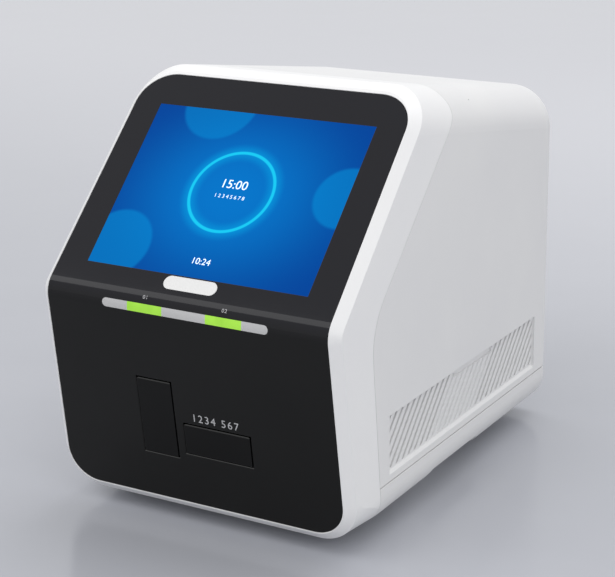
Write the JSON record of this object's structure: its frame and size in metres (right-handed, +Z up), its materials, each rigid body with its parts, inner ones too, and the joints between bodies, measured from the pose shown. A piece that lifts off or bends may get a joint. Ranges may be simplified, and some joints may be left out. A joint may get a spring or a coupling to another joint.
{
  "type": "rapid test reader",
  "caption": "Bench-top rapid test reader with a sloped touch screen, a status light bar and motor-driven drawers that carry test cassettes under optical heads.",
  "frame": {"origin": "centre of the footprint, on the table under the feet", "axes": "+Z up, the operator's side faces -Y, +X to the operator's right"},
  "size_m": [0.222, 0.327, 0.2804],
  "materials": {
    "bezel_white": "smooth moulded",
    "cover_white": "fine moulded grain",
    "base_white": "fine moulded grain",
    "panel_black": "high gloss",
    "door_black": "high gloss",
    "plate_white": "satin",
    "screen_glass": "lit picture behind glass",
    "light_grey": "translucent diffuser",
    "light_green": "lit diffuser",
    "led_white": "clear",
    "board_green": "solder mask",
    "chip_black": "moulded",
    "module_steel": "pressed",
    "bracket_steel": "zinc plated",
    "screw_steel": "zinc plated",
    "standoff_brass": "turned",
    "tray_grey": "moulded",
    "gear_plastic": "moulded acetal",
    "runner_plastic": "moulded acetal",
    "rail_steel": "ground",
    "beam_aluminium": "milled",
    "motor_black": "black lacquer",
    "chassis_steel": "zinc plated",
    "head_black": "black anodised",
    "lens_glass": "coated",
    "lamp_black": "anodised",
    "speaker_black": "paper cone in a moulded frame",
    "sink_aluminium": "extruded, anodised",
    "supply_steel": "folded sheet",
    "rear_grey": "fine texture paint",
    "fan_black": "moulded",
    "inlet_black": "moulded",
    "rocker_black": "moulded",
    "socket_steel": "tin plated",
    "foot_rubber": "moulded"
  },
  "bodies": {
    "root": {"base_tray": "base_white", "board_parts": "chip_black", "board_standoffs": "standoff_brass", "bracket_screws": "screw_steel", "chassis_plate": "chassis_steel", "detector_boards": "board_green", "display_board": "board_green", "display_bracket": "bracket_steel", "display_chips": "chip_black", "display_standoffs": "standoff_brass", "drawer_a_beam": "beam_aluminium", "drawer_a_motor": "motor_black", "drawer_a_rail": "rail_steel", "drawer_b_beam": "beam_aluminium", "drawer_b_motor": "motor_black", "drawer_b_rail": "rail_steel", "fan_frame": "fan_black", "foot_screws": "screw_steel", "front_bezel": "bezel_white", "front_fascia": "panel_black", "heat_sink": "sink_aluminium", "lcd_module": "module_steel", "light_bar_lens": "light_grey", "light_board": "board_green", "main_board": "board_green", "main_cover": "cover_white", "name_plate": "plate_white", "network_socket": "inlet_black", "power_inlet": "inlet_black", "power_supply": "supply_steel", "reader_bridge": "chassis_steel", "reader_head_a": "head_black", "reader_head_b": "head_black", "reader_lamps": "lamp_black", "reader_lenses": "lens_glass", "rear_panel": "rear_grey", "rear_screws": "screw_steel", "rubber_feet": "foot_rubber", "speaker": "speaker_black", "speaker_mount": "beam_aluminium", "status_leds": "led_white", "status_windows": "light_green", "switch_frame": "inlet_black", "touch_glass": "screen_glass", "usb_sockets": "socket_steel"},
    "drawer_a": {"drawer_a_door": "door_black", "drawer_a_tray": "tray_grey", "drawer_a_rack": "gear_plastic", "drawer_a_runner": "runner_plastic"},
    "drawer_b": {"drawer_b_door": "door_black", "drawer_b_tray": "tray_grey", "drawer_b_rack": "gear_plastic", "drawer_b_runner": "runner_plastic"},
    "drive_a": {"drawer_a_pinion": "gear_plastic", "drawer_a_shaft": "rail_steel"},
    "drive_b": {"drawer_b_pinion": "gear_plastic", "drawer_b_shaft": "rail_steel"},
    "fan": {"fan_rotor": "fan_black"},
    "switch": {"switch_rocker": "rocker_black"}
  },
  "joints": [
    {"name": "drawer_a_slide", "type": "slide", "parent": "root", "child": "drawer_a", "axis": [0, -1, 0], "range_m": [0, 0.08]},
    {"name": "drawer_b_slide", "type": "slide", "parent": "root", "child": "drawer_b", "axis": [0, -1, 0], "range_m": [0, 0.08]},
    {"name": "drawer_a_pinion_spin", "type": "hinge", "parent": "root", "child": "drive_a", "pos_m": [-0.048, -0.112, 0.0565], "axis": [0, 0, -1], "range_deg": [0, 516]},
    {"name": "drawer_b_pinion_spin", "type": "hinge", "parent": "root", "child": "drive_b", "pos_m": [0.0487, -0.112, 0.0565], "axis": [0, 0, 1], "range_deg": [0, 516]},
    {"name": "fan_spin", "type": "hinge", "parent": "root", "child": "fan", "pos_m": [0, 0.146, 0.166], "axis": [0, 1, 0], "continuous": true},
    {"name": "power_switch_rock", "type": "hinge", "parent": "root", "child": "switch", "pos_m": [-0.062, 0.158, 0.104], "axis": [-1, 0, 0], "range_deg": [0, 16]}
  ],
  "couplings": [
    {"joint": "drawer_a_pinion_spin", "follows": "drawer_a_slide", "rad_per_m": 111.11},
    {"joint": "drawer_b_pinion_spin", "follows": "drawer_b_slide", "rad_per_m": 111.11}
  ]
}
